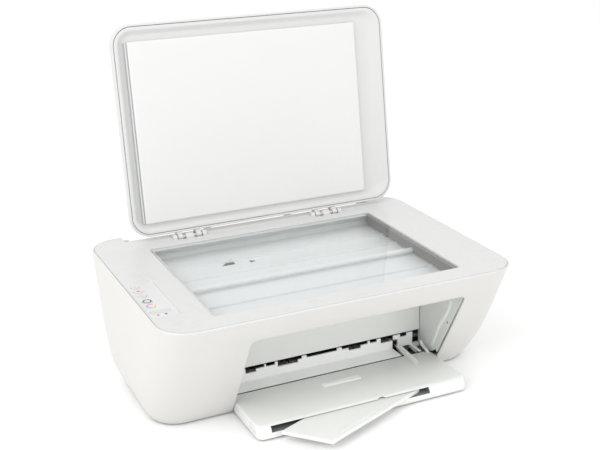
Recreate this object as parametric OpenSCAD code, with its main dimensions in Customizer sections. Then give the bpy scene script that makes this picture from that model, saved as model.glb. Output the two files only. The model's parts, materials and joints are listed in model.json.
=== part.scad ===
// All-in-one inkjet printer with an open scanner lid and a lowered output tray.
// X runs left to right, Y front to back, Z up; the feet stand on Z = 0.

/* [Body] */
// Width of the body at its top edge
body_w = 425; // [400:1:520]
// Depth of the body at its top edge
body_d = 304; // [290:1:370]
// Height of the body's top face above the table
top_z = 146.3; // [140:0.1:180]
// How far the front face leans back from its top edge to the base
front_lean = 79; // [60:1:90]
// How far the back face leans forward from its top edge to the base
back_lean = 86; // [60:1:95]
// Plan radius of the body's corners
corner_r = 36; // [25:1:45]
// Thickness of the moulded walls
wall = 2.4; // [1.8:0.1:3.2]
// Height of the rubber feet
foot_h = 2; // [1:0.5:4]

/* [Scanner] */
// Width of the glass
glass_w = 298; // [290:1:310]
// Depth of the glass
glass_d = 217; // [210:1:225]
// Thickness of the glass
glass_t = 2.6; // [2:0.2:4]
// Distance from the body's front edge to the glass
glass_front = 30; // [24:1:40]
// Depth of the scanner tub below the top cover
tub_h = 20; // [18:0.5:22]

/* [Lid] */
// Width of the lid
lid_w = 361; // [345:1:365]
// Depth of the lid
lid_d = 255.8; // [245:0.5:257]
// Thickness of the lid
lid_t = 12; // [10:0.5:16]
// Plan radius of the lid's corners
lid_r = 25.7; // [15:0.5:32]
// Angle between the closed and the open lid
lid_open = 98.6; // [80:0.1:100]
// Radius of the lid's hinge pins
lid_pin_r = 2; // [1.5:0.1:2.5]

/* [Output tray] */
// Width of the front mouth
mouth_w = 264; // [250:1:275]
// Height of the mouth's top edge on the front face
mouth_top = 115; // [105:1:118]
// Thickness of the tray at its front edge
tray_t = 14.2; // [13:0.1:16]
// Angle that the tray turns through to close
tray_close = 61.4; // [58:0.1:63]
// Width of the extender plate
ext_w = 54; // [40:1:58]
// Length of the extender plate from its pivot to its front corner
ext_l = 138; // [110:1:145]
// Thickness of the extender plate
ext_t = 4.4; // [3:0.1:5.4]
// Angle that the extender is swung out from its stowed place
ext_out = 22.5; // [0:0.5:40]

/* [Print engine] */
// Width of the carriage
carriage_w = 76; // [70:1:80]
// Radius of the carriage rod
rod_r = 4; // [3:0.1:5]
// Radius of the feed shaft's rollers
feed_r = 5; // [4:0.1:6]
// Running clearance of every shaft in its bore
run_gap = 0.06; // [0.02:0.01:0.1]

/* [Hidden] */
$fn = 48;

// Colours
shell_white = [0.93, 0.93, 0.91];
cover_white = [0.95, 0.95, 0.95];
bay_grey = [0.8, 0.82, 0.8];
dark_grey = [0.2, 0.2, 0.21];
steel = [0.7, 0.71, 0.73];

// Where parts that meet stand apart
fit_gap = 0.4;
move_gap = 0.8;

// Body form: insets of its outline at a height
base_z = foot_h;
side_bulge = 6;
side_tuck = 18;
front_tuck = 1.8;
back_tuck = 16.6;
edge_round = 1.6;
half_w = body_w / 2;

function drop(z) = (top_z - min(max(z, base_z), top_z)) / (top_z - base_z);
function side_in(z) = side_tuck * pow(drop(z), 6) - side_bulge * drop(z);
function front_in(z) = front_lean * drop(z) + front_tuck * pow(drop(z), 6);
function back_in(z) = back_lean * drop(z) - back_tuck * pow(drop(z), 6);
function front_y(z) = front_in(z);
function back_y(z) = body_d - back_in(z);

// ---- Shared shapes ----

// Rectangle with round corners
module rounded(x0, x1, y0, y1, r) {
    union() {
        translate([x0 + r, y0]) square([x1 - x0 - 2 * r, y1 - y0]);
        translate([x0, y0 + r]) square([x1 - x0, y1 - y0 - 2 * r]);
        for (x = [x0 + r, x1 - r], y = [y0 + r, y1 - r])
            translate([x, y]) circle(r);
    }
}

// Plate with round corners between two heights
module plate(x0, x1, y0, y1, z0, z1, r) {
    translate([0, 0, z0])
        linear_extrude(z1 - z0)
            rounded(x0, x1, y0, y1, r);
}

// Plain block given by its limits
module block(x0, x1, y0, y1, z0, z1) {
    translate([x0, y0, z0])
        cube([x1 - x0, y1 - y0, z1 - z0]);
}

// Extrudes a (y, z) outline from x0 to x1
module along_x(x0, x1) {
    translate([x0, 0, 0])
        rotate([90, 0, 90])
            linear_extrude(x1 - x0)
                children();
}

// Round bar along X
module bar_x(x0, x1, y, z, r) {
    translate([x0, y, z])
        rotate([0, 90, 0])
            cylinder(h = x1 - x0, r = r);
}

// Round bar along Z
module bar_z(x, y, z0, z1, r) {
    translate([x, y, z0])
        cylinder(h = z1 - z0, r = r);
}

// Turns children about an axis along X through [y, z]
module turn_x(axis, angle) {
    translate([0, axis[0], axis[1]])
        rotate([angle, 0, 0])
            translate([0, -axis[0], -axis[1]])
                children();
}

// The body's convex form, drawn in by an inset and run past its ends
module body_form(inset, over_top, under_base) {
    levels = [top_z, top_z - 1, top_z - 3, 110, 75, 48, 32, 20, 11, 5, base_z];
    lip = [edge_round, edge_round * 0.35, 0];
    disc_h = 0.1;
    hull()
        for (i = [0 : len(levels) - 1], sx = [-1, 1], back = [0, 1]) {
            z = levels[i];
            in = inset + (inset == 0 && i < 3 ? lip[i] : 0);
            r = corner_r - 4 * drop(z) - in;
            lift = i == 0 ? over_top : (i == len(levels) - 1 ? -under_base : 0);
            x = sx * (half_w - side_in(z) - in - r);
            y = back == 0 ? front_y(z) + in + r : back_y(z) - in - r;
            translate([x, y, z + lift - (lift >= 0 && i == 0 ? disc_h : 0)])
                cylinder(h = disc_h, r = r, $fn = 32);
        }
}

// ---- Places that several parts share ----

// Output bay: its side faces, back face and ceiling
bay_x0 = -114;
bay_x1 = bay_x0 + mouth_w;
bay_back = 116;
bay_top = mouth_top + 6.4;
bay_wall = 2;
tray_axis = [106.4, 49.6];
tray_rest_z = base_z + 0.6;
mouth_r = 9;
floor_notch_back = tray_axis[0] + 31;

// Door that closes the carriage bay
door_t = 2.2;
door_axis = [bay_back + door_t / 2, 34];
door_pin_r = 1.5;
sill_z = 32;

// Top cover and scanner
cover_t = 3;
cover_in = 2.8;
cover_gap = 0.3;
cover_z = top_z - cover_t;
glass_x0 = -149.7;
glass_y0 = glass_front;
tub_z = cover_z - tub_h;
tub_x0 = glass_x0 - 14;
tub_x1 = glass_x0 + glass_w + 38;
tub_y0 = front_y(tub_z) + wall + 1;
tub_y1 = body_d - 42;

// Rear paper path, set along the back face
rear_x = 168;
rear_t = 3;
rear_top = top_z - 5;
rear_low = 52;
back_slope = (back_y(rear_low) - back_y(rear_top)) / (rear_low - rear_top);
back_angle = atan(back_slope);
rear_axis = [back_y(rear_top) - 1.9, rear_top - 1];
slot_y0 = body_d - 18.5;

// Lid, drawn closed and then turned open
lid_axis = [glass_y0 + glass_d + 24.4, top_z - 0.3];
lid_x0 = -161.9;
lid_x1 = lid_x0 + lid_w;
lid_rim_z = top_z + fit_gap;
lid_top_z = lid_rim_z + lid_t;
lid_back = lid_axis[0] - 5.9;
lid_front = lid_back - lid_d;
lid_skin = 2.2;
pad_t = 4.8;
hinge_x = [-90, 98];
hinge_w = 44;
arm_x = 12;
arm_w = 6;

// Gap round each button's cap
button_gap = 0.35;

module lid_place() {
    turn_x(lid_axis, -lid_open)
        children();
}

// ---- Casing, base and feet ----

// Tray's outline when closed, used to cut the mouth
module mouth_cutter() {
    turn_x(tray_axis, -tray_close)
        plate(bay_x0, bay_x1, tray_front - 0.7, tray_axis[0] + 60, -30, 22, mouth_r);
    block(bay_x0, bay_x1, 60, floor_notch_back, -1, 16);
}

module rear_cutter(gap) {
    block(-rear_x - gap, rear_x + gap, back_y(rear_low) - 12, body_d + 20, rear_low - gap, top_z + 5);
}

module outer_casing() color(shell_white) {
    difference() {
        body_form(0, 0, 0);
        body_form(wall, 5, 5);
        mouth_cutter();
        rear_cutter(0);
        // Rebate for the top cover
        plate(-half_w + cover_in - cover_gap, half_w - cover_in + cover_gap, cover_in - cover_gap,
            body_d - cover_in + cover_gap, cover_z - cover_gap, top_z + 1, corner_r - cover_in + cover_gap);
        block(port_x0, port_x1, back_y(port_z1) - 20, back_y(port_z1) + 10, port_z0, port_z1);
    }
}

module base_pan() color(bay_grey) {
    difference() {
        intersection() {
            body_form(wall + fit_gap, 5, 5);
            block(-half_w, half_w, 0, body_d, base_z, pan_top);
        }
        block(bay_x0 - fit_gap, bay_x1 + fit_gap, 0, floor_notch_back, 0, 20);
        for (p = foot_spots)
            bar_z(p[0], p[1], base_z - 1, pan_top + 1, foot_stem_r);
        for (p = screw_spots)
            bar_z(p[0], p[1], base_z - 1, pan_top + 1, screw_r);
        for (i = [0 : 7])
            block(-70 + 18 * i, -64 + 18 * i, 175, 215, 0, 10);
    }
}

pan_top = base_z + 2.4;
screw_r = 1.2;
screw_spots = [[-150, 150], [150, 190], [-100, 205], [100, 205]];
foot_stem_r = 2.5;
foot_r = 8;
foot_y0 = front_y(base_z) + 21;
foot_y1 = back_y(base_z) - 21;
foot_spots = [[-164, foot_y0], [176, foot_y0], [-164, foot_y1], [164, foot_y1]];

module feet() color(dark_grey) {
    for (p = foot_spots) {
        bar_z(p[0], p[1], 0, base_z, foot_r);
        bar_z(p[0], p[1], base_z, base_z + 4, foot_stem_r);
    }
}

// ---- Top cover, glass and scanner ----

module button_holes() {
    for (b = round_buttons)
        bar_z(b[0], b[1], cover_z - 1, top_z + 1, b[2] + button_gap);
}

module top_cover() color(cover_white) {
    z0 = cover_z;
    glass_r = 3;
    difference() {
        plate(-half_w + cover_in, half_w - cover_in, cover_in, body_d - cover_in, z0, top_z,
            corner_r - cover_in);
        plate(glass_x0 + 4, glass_x0 + glass_w - 4, glass_y0 + 4, glass_y0 + glass_d - 4,
            z0 - 1, top_z + 1, glass_r);
        plate(glass_x0 - 0.2, glass_x0 + glass_w + 0.2, glass_y0 - 0.2, glass_y0 + glass_d + 0.2,
            glass_seat, top_z + 1, glass_r);
        for (x = hinge_x)
            block(x - hinge_w / 2, x + hinge_w / 2, socket_y0, socket_y1, z0 - 1, top_z + 1);
        block(-rear_x, rear_x, slot_y0, body_d + 1, z0 - 1, top_z + 1);
        button_holes();
        plate(label_x0 - 0.2, label_x1 + 0.2, label_y0 - 0.2, label_y1 + 0.2, top_z - label_t, top_z + 1, 3);
    }
}

glass_top = top_z - 0.3;
glass_seat = glass_top - glass_t + 0.8;

module scanner_glass() color([0.75, 0.85, 0.86, 0.35]) {
    lip = 0.8;
    union() {
        plate(glass_x0, glass_x0 + glass_w, glass_y0, glass_y0 + glass_d, glass_seat, glass_top, 2.8);
        plate(glass_x0 + 4.2, glass_x0 + glass_w - 4.2, glass_y0 + 4.2, glass_y0 + glass_d - 4.2,
            glass_seat - lip, glass_seat, 2.8);
    }
}

scan_y = 138;
scan_rod_r = 3;
scan_rod_z = tub_z + 7.5;

module scanner_tub() color(bay_grey) {
    t = 2;
    difference() {
        plate(tub_x0, tub_x1, tub_y0, tub_y1, tub_z, cover_z, 6);
        plate(tub_x0 + t, tub_x1 - t, tub_y0 + t, tub_y1 - t, tub_z + t, cover_z + 1, 4);
    }
    // Rod ends and the long ribs on the floor
    for (x = [tub_x0 + t, tub_x1 - t - 6])
        difference() {
            block(x, x + 6, scan_y - 6, scan_y + 6, tub_z + t, scan_rod_z + 5);
            bar_x(x - 1, x + 7, scan_y, scan_rod_z, scan_rod_r);
        }
    for (y = [92, 176, 212])
        block(tub_x0 + t + 6, tub_x1 - t - 6, y, y + 1.6, tub_z + t, tub_z + t + 2.5);
}

module scan_rod() color(steel) {
    bar_x(tub_x0 + 2, tub_x1 - 2, scan_y, scan_rod_z, scan_rod_r);
}

// Contact image sensor bar, parked past the right end of the glass
module scan_head() color(dark_grey) {
    w = 17;
    x = glass_x0 + glass_w + 9.5;
    z0 = tub_z + 5;
    difference() {
        union() {
            block(x - w / 2, x + w / 2, tub_y0 + 6, tub_y1 - 8, z0, glass_seat - 1.4);
            for (y = [tub_y0 + 14, tub_y1 - 22])
                block(x - 4, x + 4, y, y + 6, glass_seat - 1.4, glass_seat - 1.1);
        }
        bar_x(x - w, x + w, scan_y, scan_rod_z, scan_rod_r + run_gap);
    }
}

// ---- Control panel ----

label_t = 0.5;
label_x0 = -half_w + 4.5;
label_x1 = label_x0 + 31;
label_y0 = 52;
label_y1 = 148;

// Centre x, centre y and radius of each button
power_at = [label_x0 + 8.2, 140.5, 4.6];
cancel_at = [label_x0 + 8.1, 127.2, 4.6];
resume_at = [label_x0 + 8.5, 113.6, 4.6];
black_at = [label_x0 + 8.6, 96.9, 5.2];
colour_at = [label_x0 + 8.4, 83.6, 5.0];
round_buttons = [power_at, cancel_at, resume_at, black_at, colour_at];
light_x = [label_x0 + 8.6, label_x0 + 17.2];
light_y = 58.9;
window_x = [label_x0 + 2.6, label_x0 + 24];
window_y = [63.2, 71.4];

module panel_label() color([0.96, 0.96, 0.96]) {
    difference() {
        plate(label_x0, label_x1, label_y0, label_y1, top_z - label_t, top_z, 2.8);
        button_holes();
        plate(window_x[0] - 0.2, window_x[1] + 0.2, window_y[0] - 0.2, window_y[1] + 0.2,
            top_z - 2, top_z + 1, 1.6);
        for (x = light_x)
            bar_z(x, light_y, top_z - 2, top_z + 1, 1.5);
    }
}

module display_window() color([0.85, 0.87, 0.86]) {
    plate(window_x[0], window_x[1], window_y[0], window_y[1], top_z - label_t, top_z + 0.1, 1.5);
}

module status_lights() color([0.85, 0.3, 0.3]) {
    for (x = light_x)
        bar_z(x, light_y, top_z - label_t, top_z + 0.1, 1.4);
}

// Cap with a wider foot under the cover
module push_button(at) {
    cap_h = 0.7;
    flange = 1.2;
    bar_z(at[0], at[1], cover_z - fit_gap - 1.5, top_z + cap_h, at[2]);
    bar_z(at[0], at[1], cover_z - fit_gap - 1.5, cover_z - fit_gap, at[2] + flange);
}

module power_button() color([0.94, 0.94, 0.94]) push_button(power_at);
module cancel_button() color([0.94, 0.94, 0.94]) push_button(cancel_at);
module resume_button() color([0.94, 0.94, 0.94]) push_button(resume_at);
module black_copy_button() color([0.94, 0.94, 0.94]) push_button(black_at);
module colour_copy_button() color([0.94, 0.94, 0.94]) push_button(colour_at);

// ---- Lid and its hinges ----

socket_y0 = lid_axis[0] - 8.5;
socket_y1 = lid_axis[0] + 10;
socket_wall = 5;
arm_eye_r = 4.4;

// Pocket with three ears and a pin through them, one at each hinge
module hinge_sockets() color(cover_white) {
    for (x = hinge_x) {
        x0 = x - hinge_w / 2 + 0.3;
        x1 = x + hinge_w / 2 - 0.3;
        difference() {
            union() {
                block(x0, x1, socket_y0 + 0.3, socket_y1 - 0.3, cover_z - 5, cover_z - 2.6);
                for (e = [[x0, x0 + socket_wall], [x - 5, x + 5], [x1 - socket_wall, x1]])
                    along_x(e[0], e[1])
                        union() {
                            translate([socket_y0 + 0.3, cover_z - 5])
                                square([socket_y1 - socket_y0 - 0.6, top_z - cover_z + 5]);
                            translate(lid_axis) circle(4);
                        }
            }
            bar_x(x0 + 1.5, x1 - 1.5, lid_axis[0], lid_axis[1], lid_pin_r);
        }
        bar_x(x0 + 1.5, x1 - 1.5, lid_axis[0], lid_axis[1], lid_pin_r);
    }
}

module lid_hinge_arms() color(cover_white) {
    lid_place()
        for (x = hinge_x, side = [-1, 1]) {
            xa = x + side * arm_x - arm_w / 2;
            difference() {
                along_x(xa, xa + arm_w)
                    union() {
                        translate(lid_axis) circle(arm_eye_r);
                        translate([lid_back, lid_rim_z + 0.4])
                            square([lid_axis[0] - lid_back + 2, 4]);
                        translate([lid_back, lid_rim_z + 0.4])
                            square([3.4, lid_t - 3]);
                    }
                bar_x(xa - 1, xa + arm_w + 1, lid_axis[0], lid_axis[1], lid_pin_r + run_gap);
            }
        }
}

module lid_shell() color(cover_white) {
    side = 2.6;
    lid_place()
        difference() {
            plate(lid_x0, lid_x1, lid_front, lid_back, lid_rim_z, lid_top_z, lid_r);
            plate(lid_x0 + side, lid_x1 - side, lid_front + side, lid_back - side,
                lid_rim_z - 1, lid_top_z - lid_skin, lid_r - side);
        }
}

pad_x0 = lid_x0 + 19.3;
pad_x1 = lid_x1 - 40.7;
pad_back = lid_back - 16;
pad_front = lid_front + 20.6;
pad_z0 = lid_rim_z + 0.1;

// Shallow dish inside the lid: a rim, low walls and a flat floor
module lid_liner() color(cover_white) {
    gap = 2.9;
    rim = 6;
    rim_t = 2;
    dish_z = pad_z0 + pad_t;
    x0 = lid_x0 + gap;
    x1 = lid_x1 - gap;
    y0 = lid_front + gap;
    y1 = lid_back - gap;
    r = lid_r - gap;
    lid_place()
        difference() {
            plate(x0, x1, y0, y1, lid_rim_z + 0.5, dish_z + rim_t, r);
            plate(x0 + rim, x1 - rim, y0 + rim, y1 - rim, lid_rim_z, dish_z, r - rim);
            difference() {
                plate(x0 - 1, x1 + 1, y0 - 1, y1 + 1, lid_rim_z + 0.5 + rim_t, dish_z + rim_t + 1, r);
                plate(x0 + rim - rim_t, x1 - rim + rim_t, y0 + rim - rim_t, y1 - rim + rim_t,
                    lid_rim_z, dish_z + rim_t + 2, r - rim + rim_t);
            }
        }
}

module foam_pad() color([0.97, 0.97, 0.97]) {
    lid_place()
        plate(pad_x0, pad_x1, pad_front, pad_back, pad_z0, pad_z0 + pad_t, 1.2);
}

// ---- Output bay ----

module bay_side(x0, x1, out) {
    slot_r = 41.5;
    slot_half = 2.7;
    rest_a = 289.7;
    foot = pan_top;
    bay_deep = bay_back + door_t + 1.6;
    difference() {
        along_x(x0, x1)
            polygon([[front_y(bay_top) + wall + 1.2, bay_top], [bay_deep, bay_top], [bay_deep, foot],
                [front_y(foot) + wall + 2, foot]]);
        // Arc that the tray's end pins run in
        along_x(x0 - 1, x1 + 1)
            translate(tray_axis)
                intersection() {
                    difference() {
                        circle(slot_r + slot_half);
                        circle(slot_r - slot_half);
                    }
                    polygon([[0, 0], for (a = [rest_a - tray_close - 4, 258, rest_a + 4])
                        [80 * cos(a), 80 * sin(a)]]);
                }
        bar_x(x0 - 1, x1 + 1, door_axis[0], door_axis[1], door_pin_r + run_gap);
        bar_x(x0 - 1, x1 + 1, 55, 67, 1.6);
    }
    // Trunnion that carries the tray's arm
    bar_x(out < 0 ? x0 - 4.4 : x1, out < 0 ? x0 : x1 + 4.4, tray_axis[0], tray_axis[1], trunnion_r);
}

trunnion_r = 3;

module bay_walls() color(bay_grey) {
    bay_side(bay_x0 - bay_wall, bay_x0, -1);
    bay_side(bay_x1, bay_x1 + bay_wall, 1);
}

module bay_ceiling() color(bay_grey) {
    t = 1.8;
    block(bay_x0 - bay_wall, bay_x1 + bay_wall, front_y(bay_top) + wall + 4, bay_back + 2,
        bay_top, bay_top + t);
}

// Windows that the exit rollers look through: left end, right end, floor height
deep_z = sill_z - 7;
thin_z = sill_z - 3.6;
windows = [[-82.8, -69.4, deep_z], [-69.4, -58.8, thin_z], [-56.9, -45.2, thin_z],
    [-41.9, -15.7, deep_z], [-15.7, -10.7, thin_z], [-4.7, 35.8, thin_z], [42, 51.3, thin_z],
    [51.3, 67.9, deep_z], [67.9, 77.4, thin_z], [80.5, 90.1, thin_z], [95.4, 113, deep_z]];
strip_z = 15;
ledge_nose = [93.4, 15.6];
ledge_lip = 0.8;
ledge_x0 = bay_x0 + 9.6;
ledge_x1 = bay_x1 - 10;
stay_x = 117.5;

module exit_frame() color([0.86, 0.87, 0.86]) {
    t = 2.2;
    ledge_r = 39.6;
    // The ledge ends in a thin lip over a dark gap
    lip_end = ledge_nose[0] + 8;
    difference() {
        union() {
            along_x(ledge_x0, ledge_x1)
                polygon([[bay_back, thin_z + 3.2], [bay_back, strip_z], ledge_nose,
                    [ledge_nose[0], ledge_nose[1] - ledge_lip], [lip_end, ledge_nose[1] - 2 * ledge_lip],
                    [lip_end, 8], [bay_back + 10, 8], [bay_back + 10, strip_z],
                    [bay_back + t, strip_z], [bay_back + t, thin_z + 3.2]]);
            // Post and block beside the stay
            block(stay_x + 1.8, stay_x + 4, bay_back - 1.6, bay_back + 0.5, 11.8, sill_z - 1);
        }
        // Underside follows the tray's swing
        along_x(ledge_x0 - 1, ledge_x1 + 1)
            translate(tray_axis)
                difference() {
                    circle(70, $fn = 96);
                    circle(ledge_r, $fn = 96);
                }
        for (w = windows)
            block(w[0], w[1], bay_back - 2, bay_back + t + 1, w[2], sill_z + 2);
        // Notch for the stay, and the openings beside it
        block(stay_x - 5.5, stay_x + 1.4, ledge_nose[0] - 2, bay_back + 12, 5, 26);
        block(stay_x + 5, stay_x + 14.5, bay_back - 1, bay_back + t + 1, 27.8, sill_z + 2);
        block(stay_x + 5, ledge_x1 - 4, ledge_nose[0] - 2, bay_back - 0.2, 5, 16);
    }
}

platen_x0 = -112;
platen_x1 = 121;

module platen() color(dark_grey) {
    z0 = 20.5;
    y0 = tray_end + 1;
    y1 = feed_at[0] - feed_r - 2;
    difference() {
        union() {
            block(platen_x0, platen_x1, y0, y1, z0, z0 + 2);
            for (i = [0 : 10])
                block(-104 + 20 * i, -102.4 + 20 * i, y0 + 1, y1 - 1, z0 + 2, z0 + 5.5);
            for (x = [platen_x0, platen_x1 - 2])
                block(x, x + 2, floor_notch_back + 1, y1, pan_top, z0);
        }
        block(-98, 112, y0 + 12, y0 + 20, z0 - 1, z0 + 1.2);
    }
}

module access_door() color([0.87, 0.88, 0.87]) {
    y0 = bay_back;
    y1 = bay_back + door_t;
    x0 = bay_x0 + move_gap;
    x1 = bay_x1 - move_gap;
    door_top = bay_top - 2;
    difference() {
        union() {
            block(x0, x1, y0, y1, door_axis[1], door_top);
            bar_x(x0, x1, door_axis[0], door_axis[1], door_t / 2);
            bar_x(x0 - move_gap - 1.6, x1 + move_gap + 1.6, door_axis[0], door_axis[1], door_pin_r - 0.5);
            // Stiffening ribs on the hidden side
            for (i = [0 : 5])
                block(x0 + 20 + 43 * i, x0 + 21.6 + 43 * i, y1, y1 + 2.4, door_axis[1] + 6, door_top - 4);
        }
        plate(-6, 42, y0 - 5, y1 - 0.9, door_top - 3.5, door_top + 1, 1);
    }
}

// ---- Output tray ----

tray_x0 = bay_x0 + move_gap;
tray_x1 = bay_x1 - move_gap;
tray_front = 6.5;
tray_back = ledge_nose[0] - 3;
tray_end = tray_axis[0] + 24;
tray_z1 = tray_rest_z + tray_t;
tail_z = tray_rest_z + 5.6;
ear_w = 8;
pin_spot = [120, 10.9];
slot_x0 = -98;
slot_x1 = 98.5;
slot_z1 = tray_z1 - 1.5;
slot_z0 = slot_z1 - ext_t - 1.6;
slot_back = 94;
skin_t = 2;

// Height of the tray's top face at a depth
function tray_top(y) = tray_z1 - 1.2 * (y - tray_front - 9) / (tray_back - tray_front - 9);

// Side outline of the tray in (y, z)
module tray_outline() {
    nose = 4;
    polygon([[tray_front, tray_rest_z], [tray_end, tray_rest_z], [tray_end, tail_z],
        [tray_back + 1.5, tail_z], [tray_back, tray_top(tray_back)], [tray_front + 9, tray_z1],
        [tray_front + nose, tray_z1 - 1], [tray_front + 1.2, tray_z1 - nose], [tray_front, tray_z1 - 7]]);
}

module tray_form() {
    intersection() {
        along_x(tray_x0, tray_x1)
            intersection() {
                tray_outline();
                // The tail clears the table as it swings under the axis
                union() {
                    translate(tray_axis) circle(tray_axis[1] - 0.5, $fn = 128);
                    translate([-20, -10]) square([tray_axis[0] + 20, 60]);
                }
            }
        translate([0, 0, -1])
            linear_extrude(40)
                rounded(tray_x0, tray_x1, tray_front, tray_end + 30, mouth_r - move_gap);
    }
}

module output_tray() color([0.9, 0.91, 0.9]) {
    difference() {
        tray_form();
        // Room for the extender, open at the front
        block(slot_x0, slot_x1, slot_pocket_y0, slot_back - 16, slot_z0, slot_z1);
        block(slot_x0, slot_x1 - 4, tray_front - 1, slot_pocket_y0 + 1, slot_z0, slot_z1);
        // Hollow underside that the floor plate closes
        block(tray_x0 + 3, tray_x1 - 3, tray_front + 4, tray_end - 6, tray_rest_z - 1, floor_top);
        block(slot_x0 - 4, slot_x1 + 4, tray_front + 4, slot_back - 14, floor_top - 0.5, slot_z0 - 1.6);
        block(tray_x0 + 3, tray_x1 - 3, slot_back - 14, tray_back - 3, floor_top - 0.5, tray_z1 - 3.5);
        block(tray_x0 + 3, slot_x0 - 3, tray_front + 9, tray_back - 3, floor_top - 0.5, tray_z1 - 3.5);
        block(slot_x1 + 3, tray_x1 - 3, tray_front + 9, tray_back - 3, floor_top - 0.5, tray_z1 - 3.5);
    }
    // Low strip on the top
    plate(-8.5, 40.2, 61.8, 71.5, tray_top(68) - 0.6, tray_top(68) + 0.3, 1.1);
    // Pivot pin of the extender
    bar_z(ext_pivot[0], ext_pivot[1], slot_z0 - 1, slot_z1 + 0.4, ext_pin_r);
    bar_z(ext_pivot[0], ext_pivot[1], floor_top, slot_z0 - 1, ext_pin_r + 2);
    // Ears that take the arms' pins
    for (x = [tray_x0, tray_x1 - ear_w])
        difference() {
            along_x(x, x + ear_w)
                union() {
                    translate(pin_spot) circle(4.2);
                    translate([pin_spot[0] - 4.2, tail_z - 1]) square([8.4, pin_spot[1] - tail_z + 1]);
                }
            bar_x(x - 1, x + ear_w + 1, pin_spot[0], pin_spot[1], tray_pin_r);
        }
}

slot_pocket_y0 = tray_front + 2;
floor_top = tray_rest_z + skin_t;

// Plate that closes the underside of the tray
module tray_floor() color([0.9, 0.91, 0.9]) {
    block(tray_x0 + 3.2, tray_x1 - 3.2, tray_front + 4.2, tray_end - 12, tray_rest_z, floor_top);
    for (x = [slot_x0 - 6, 0, slot_x1 + 6])
        block(x - 0.8, x + 0.8, tray_front + 11, tray_back - 8, floor_top,
            abs(x) < 1 ? slot_z0 - 2.2 : floor_top + 3);
}

arm_gap = 0.4;
tray_pin_r = 1.9;

// Swan-neck arms outside the bay's walls
module tray_arms() color(bay_grey) {
    t = 3;
    reach = norm(pin_spot - tray_axis);
    lean = atan2(pin_spot[1] - tray_axis[1], pin_spot[0] - tray_axis[0]);
    for (side = [-1, 1]) {
        wall_x = side < 0 ? bay_x0 - bay_wall - arm_gap : bay_x1 + bay_wall + arm_gap;
        x0 = side < 0 ? wall_x - t : wall_x;
        difference() {
            along_x(x0, x0 + t)
                union() {
                    translate(tray_axis) circle(6.5);
                    translate(pin_spot) circle(3.2);
                    translate(tray_axis)
                        rotate(lean)
                            translate([0, -2.6])
                                square([reach, 5.2]);
                }
            bar_x(x0 - 1, x0 + t + 1, tray_axis[0], tray_axis[1], trunnion_r + run_gap);
        }
    }
}

// Pins from the arms into the tray's ears, through the slots in the bay's walls
module tray_pins() color(steel) {
    reach = bay_wall + arm_gap;
    bar_x(bay_x0 - reach, tray_x0 + ear_w - 1, pin_spot[0], pin_spot[1], tray_pin_r);
    bar_x(tray_x1 - ear_w + 1, bay_x1 + reach, pin_spot[0], pin_spot[1], tray_pin_r);
}

// Grooved stay from the tray to the frame
module tray_stay() color(steel) {
    x0 = stay_x - 2.6;
    x1 = stay_x + 0.6;
    flange = 1.2;
    y0 = 62;
    y1 = tray_back - 1;
    y2 = 110;
    rise = 3.4;
    along_x(x0, x1)
        polygon([[y0, tray_top(y0)], [y0 + 4, tray_top(y0) + 3], [y1, tray_top(y1) + 5.4],
            [y2, tray_top(y1) + 6.6], [y2, tray_top(y1) + 3.6], [y1, tray_top(y1)]]);
    along_x(x0 - flange, x1 + flange)
        polygon([[y0 + 1, tray_top(y0 + 1)], [y0 + 4, tray_top(y0) + 1.6], [y1, tray_top(y1) + rise],
            [y2 - 1, tray_top(y1) + 5], [y2 - 1, tray_top(y1) + 4], [y1, tray_top(y1)]]);
}

ext_pivot = [71, 22];
ext_pin_r = 3;
ext_hub_r = 9;
ext_front = 14.6;

module extender_place(angle) {
    translate([ext_pivot[0], ext_pivot[1], 0])
        rotate([0, 0, angle])
            children();
}

ext_z0 = slot_z0 + 0.6;
ext_z1 = ext_z0 + ext_t;

// Cam hub between the tray's pin and the extender
module extender_hub() color(bay_grey) {
    extender_place(0)
        difference() {
            bar_z(0, 0, ext_z0, ext_z1 - 0.4, ext_hub_r);
            bar_z(0, 0, ext_z0 - 1, ext_z1 + 1, ext_pin_r + run_gap);
        }
}

// Flat plate that swings out of the tray's front, drawn stowed along -X
module extender() color([0.93, 0.94, 0.93]) {
    r_end = 12;
    x1 = 21;
    far_slant = 20;
    extender_place(ext_out)
        difference() {
            union() {
                translate([0, 0, ext_z0])
                    linear_extrude(ext_t)
                        union() {
                            polygon([[-ext_l, -ext_front], [x1 - r_end, -ext_front],
                                [x1 - r_end, ext_w - ext_front], [-ext_l - far_slant, ext_w - ext_front]]);
                            translate([x1 - r_end - 1, -ext_front + r_end])
                                square([r_end + 1, ext_w - 2 * r_end]);
                            for (y = [-ext_front + r_end, ext_w - ext_front - r_end])
                                translate([x1 - r_end, y]) circle(r_end);
                        }
                // Low rib along the outer edge
                translate([-ext_l + 22, -ext_front + 5, ext_z1])
                    cube([52, 1.6, 0.3]);
            }
            bar_z(0, 0, ext_z0 - 1, ext_z1 + 1, ext_hub_r + run_gap);
        }
}

// ---- Print engine ----

rod_at = [bay_back + 52, 82];
frame_x0 = -half_w + 24.5;
frame_x1 = half_w - 18;
frame_t = 3;

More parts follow.
